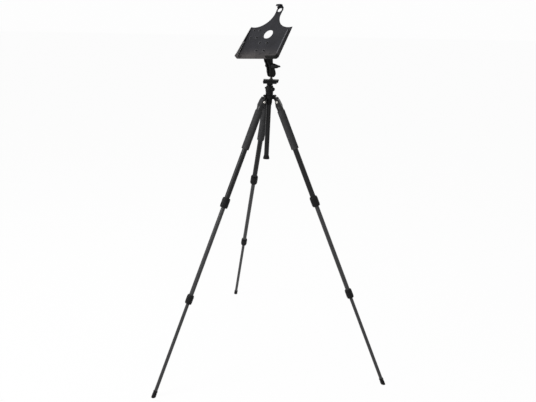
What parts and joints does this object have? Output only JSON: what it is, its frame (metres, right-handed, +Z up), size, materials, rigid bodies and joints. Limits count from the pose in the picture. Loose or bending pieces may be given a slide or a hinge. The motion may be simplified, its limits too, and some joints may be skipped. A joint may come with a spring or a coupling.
{
  "type": "tripod with tablet cradle",
  "caption": "Telescoping tripod with twist-lock legs, foam grips, a rising column, a ball head, and a tablet cradle on a double-socket arm.",
  "frame": {"origin": "middle of the bounding box's footprint, on the floor under the feet", "axes": "+Z up along the centre column; one leg points to +Y, the other two to -Y on either side of the YZ plane; +X completes the right-handed set"},
  "size_m": [0.9834, 0.854, 1.5515],
  "materials": {
    "black_tube": "satin black anodised",
    "black_alloy": "black painted casting",
    "coated_alloy": "matt powder coat",
    "dark_steel": "blackened",
    "black_plastic": "matt moulded",
    "tray_plastic": "fine moulded grain",
    "foam": "closed-cell foam",
    "foot_rubber": "moulded rubber",
    "ball_rubber": "moulded rubber skin"
  },
  "bodies": {
    "crown": {"spider": "black_alloy", "column_bushing": "black_plastic", "pivot_bolts": "dark_steel"},
    "rear_upper": {"rear_leg_yoke": "black_alloy", "rear_upper_tube": "black_tube", "rear_foam_grip": "foam", "rear_upper_ferrule": "black_plastic"},
    "rear_tab": {"rear_angle_tab": "black_alloy"},
    "rear_upper_twist": {"rear_upper_collar": "black_plastic"},
    "rear_middle": {"rear_middle_tube": "black_tube", "rear_middle_fittings": "black_plastic"},
    "rear_lower_twist": {"rear_lower_collar": "black_plastic"},
    "rear_lower": {"rear_lower_tube": "black_tube", "rear_lower_guide": "black_plastic", "rear_foot": "foot_rubber"},
    "left_upper": {"left_leg_yoke": "black_alloy", "left_upper_tube": "black_tube", "left_foam_grip": "foam", "left_upper_ferrule": "black_plastic"},
    "left_tab": {"left_angle_tab": "black_alloy"},
    "left_upper_twist": {"left_upper_collar": "black_plastic"},
    "left_middle": {"left_middle_tube": "black_tube", "left_middle_fittings": "black_plastic"},
    "left_lower_twist": {"left_lower_collar": "black_plastic"},
    "left_lower": {"left_lower_tube": "black_tube", "left_lower_guide": "black_plastic", "left_foot": "foot_rubber"},
    "right_upper": {"right_leg_yoke": "black_alloy", "right_upper_tube": "black_tube", "right_foam_grip": "foam", "right_upper_ferrule": "black_plastic"},
    "right_tab": {"right_angle_tab": "black_alloy"},
    "right_upper_twist": {"right_upper_collar": "black_plastic"},
    "right_middle": {"right_middle_tube": "black_tube", "right_middle_fittings": "black_plastic"},
    "right_lower_twist": {"right_lower_collar": "black_plastic"},
    "right_lower": {"right_lower_tube": "black_tube", "right_lower_guide": "black_plastic", "right_foot": "foot_rubber"},
    "column_twist": {"column_collar": "black_plastic"},
    "column": {"centre_column": "black_tube", "column_cap": "black_plastic", "column_platform": "black_alloy", "head_base": "black_alloy"},
    "head": {"head_housing": "black_alloy"},
    "lock_knob": {"head_lock_knob": "black_plastic"},
    "ball": {"head_ball": "dark_steel"},
    "clamp": {"clamp_body": "black_alloy"},
    "clamp_screw": {"clamp_knob": "black_plastic"},
    "plate": {"camera_plate": "black_alloy", "ball_post": "black_alloy"},
    "lower_cover": {"lower_ball_cover": "ball_rubber"},
    "arm": {"arm_right": "coated_alloy", "arm_left": "coated_alloy", "arm_bolt": "dark_steel"},
    "wing": {"wing_knob": "black_plastic"},
    "upper_cover": {"upper_ball_cover": "ball_rubber"},
    "cradle": {"tray_ball_plate": "black_alloy", "tray": "tray_plastic"},
    "hook": {"latch": "tray_plastic"}
  },
  "joints": [
    {"name": "rear_leg_fold", "type": "hinge", "parent": "crown", "child": "rear_upper", "pos_m": [0, -0.10255, 1.157], "axis": [-1, 0, 0], "range_deg": [0, 24]},
    {"name": "rear_tab_pull", "type": "slide", "parent": "rear_upper", "child": "rear_tab", "axis": [0, 0.9121, 0.4099], "range_m": [0, 0.005]},
    {"name": "rear_upper_lock_twist", "type": "hinge", "parent": "rear_upper", "child": "rear_upper_twist", "pos_m": [0, 0.07781, 0.75567], "axis": [0, 0.4099, -0.9121], "range_deg": [0, 100]},
    {"name": "rear_middle_slide", "type": "slide", "parent": "rear_upper", "child": "rear_middle", "axis": [0, -0.4099, 0.9121], "range_m": [0, 0.36]},
    {"name": "rear_lower_lock_twist", "type": "hinge", "parent": "rear_middle", "child": "rear_lower_twist", "pos_m": [0, 0.24793, 0.37714], "axis": [0, 0.4099, -0.9121], "range_deg": [0, 100]},
    {"name": "rear_lower_slide", "type": "slide", "parent": "rear_middle", "child": "rear_lower", "axis": [0, -0.4099, 0.9121], "range_m": [0, 0.355]},
    {"name": "left_leg_fold", "type": "hinge", "parent": "crown", "child": "left_upper", "pos_m": [-0.03204, -0.15806, 1.157], "axis": [0.5, -0.866, 0], "range_deg": [0, 24]},
    {"name": "left_tab_pull", "type": "slide", "parent": "left_upper", "child": "left_tab", "axis": [-0.7899, -0.4561, 0.4099], "range_m": [0, 0.005]},
    {"name": "left_upper_lock_twist", "type": "hinge", "parent": "left_upper", "child": "left_upper_twist", "pos_m": [-0.18824, -0.24824, 0.75567], "axis": [-0.355, -0.205, -0.9121], "range_deg": [0, 100]},
    {"name": "left_middle_slide", "type": "slide", "parent": "left_upper", "child": "left_middle", "axis": [0.355, 0.205, 0.9121], "range_m": [0, 0.36]},
    {"name": "left_lower_lock_twist", "type": "hinge", "parent": "left_middle", "child": "left_lower_twist", "pos_m": [-0.33557, -0.3333, 0.37714], "axis": [-0.355, -0.205, -0.9121], "range_deg": [0, 100]},
    {"name": "left_lower_slide", "type": "slide", "parent": "left_middle", "child": "left_lower", "axis": [0.355, 0.205, 0.9121], "range_m": [0, 0.355]},
    {"name": "right_leg_fold", "type": "hinge", "parent": "crown", "child": "right_upper", "pos_m": [0.03204, -0.15806, 1.157], "axis": [0.5, 0.866, 0], "range_deg": [0, 24]},
    {"name": "right_tab_pull", "type": "slide", "parent": "right_upper", "child": "right_tab", "axis": [0.7899, -0.4561, 0.4099], "range_m": [0, 0.005]},
    {"name": "right_upper_lock_twist", "type": "hinge", "parent": "right_upper", "child": "right_upper_twist", "pos_m": [0.18824, -0.24824, 0.75567], "axis": [0.355, -0.205, -0.9121], "range_deg": [0, 100]},
    {"name": "right_middle_slide", "type": "slide", "parent": "right_upper", "child": "right_middle", "axis": [-0.355, 0.205, 0.9121], "range_m": [0, 0.36]},
    {"name": "right_lower_lock_twist", "type": "hinge", "parent": "right_middle", "child": "right_lower_twist", "pos_m": [0.33557, -0.3333, 0.37714], "axis": [0.355, -0.205, -0.9121], "range_deg": [0, 100]},
    {"name": "right_lower_slide", "type": "slide", "parent": "right_middle", "child": "right_lower", "axis": [-0.355, 0.205, 0.9121], "range_m": [0, 0.355]},
    {"name": "column_lock_twist", "type": "hinge", "parent": "crown", "child": "column_twist", "pos_m": [0, -0.13956, 1.188], "axis": [0, 0, 1], "range_deg": [0, 100]},
    {"name": "column_rise", "type": "slide", "parent": "crown", "child": "column", "axis": [0, 0, 1], "range_m": [0, 0.21]},
    {"name": "head_pan", "type": "hinge", "parent": "column", "child": "head", "pos_m": [0, -0.13956, 1.196], "axis": [0, 0, 1], "continuous": true},
    {"name": "head_lock_turn", "type": "hinge", "parent": "head", "child": "lock_knob", "pos_m": [0.00686, -0.15716, 1.21], "axis": [0.3633, -0.9317, 0], "range_deg": [0, 180]},
    {"name": "head_tilt", "type": "hinge", "parent": "head", "child": "ball", "pos_m": [0, -0.13956, 1.214], "axis": [-0.5807, 0.8141, 0], "range_deg": [-25, 25]},
    {"name": "clamp_swivel", "type": "hinge", "parent": "ball", "child": "clamp", "pos_m": [0, -0.13956, 1.227], "axis": [0, 0, 1], "continuous": true},
    {"name": "clamp_knob_turn", "type": "hinge", "parent": "clamp", "child": "clamp_screw", "pos_m": [0.00457, -0.1208, 1.2349], "axis": [0.2368, 0.9715, 0], "range_deg": [0, 180]},
    {"name": "plate_slide", "type": "slide", "parent": "clamp", "child": "plate", "axis": [0.9715, -0.2368, 0], "range_m": [-0.01, 0.01]},
    {"name": "arm_azimuth", "type": "hinge", "parent": "plate", "child": "lower_cover", "pos_m": [0.00437, -0.14062, 1.272], "axis": [0, 0, 1], "continuous": true},
    {"name": "arm_tilt", "type": "hinge", "parent": "lower_cover", "child": "arm", "pos_m": [0.00437, -0.14062, 1.272], "axis": [0.5807, -0.8141, 0], "range_deg": [-60, 20]},
    {"name": "wing_knob_turn", "type": "hinge", "parent": "arm", "child": "wing", "pos_m": [0.00328, -0.16167, 1.30445], "axis": [0.5807, -0.8141, 0], "range_deg": [0, 180]},
    {"name": "cradle_tilt", "type": "hinge", "parent": "arm", "child": "upper_cover", "pos_m": [-0.01698, -0.15585, 1.3369], "axis": [-0.5807, 0.8141, 0], "range_deg": [-45, 70]},
    {"name": "cradle_spin", "type": "hinge", "parent": "upper_cover", "child": "cradle", "pos_m": [-0.01698, -0.15585, 1.3369], "axis": [-0.6415, -0.4576, 0.6157], "continuous": true},
    {"name": "latch_lift", "type": "hinge", "parent": "cradle", "child": "hook", "pos_m": [0.04994, -0.04786, 1.53994], "axis": [-0.621, 0.781, -0.0666], "range_deg": [0, 40], "stiffness_Nm_per_rad": 0.04, "springref_deg": -28.65}
  ]
}
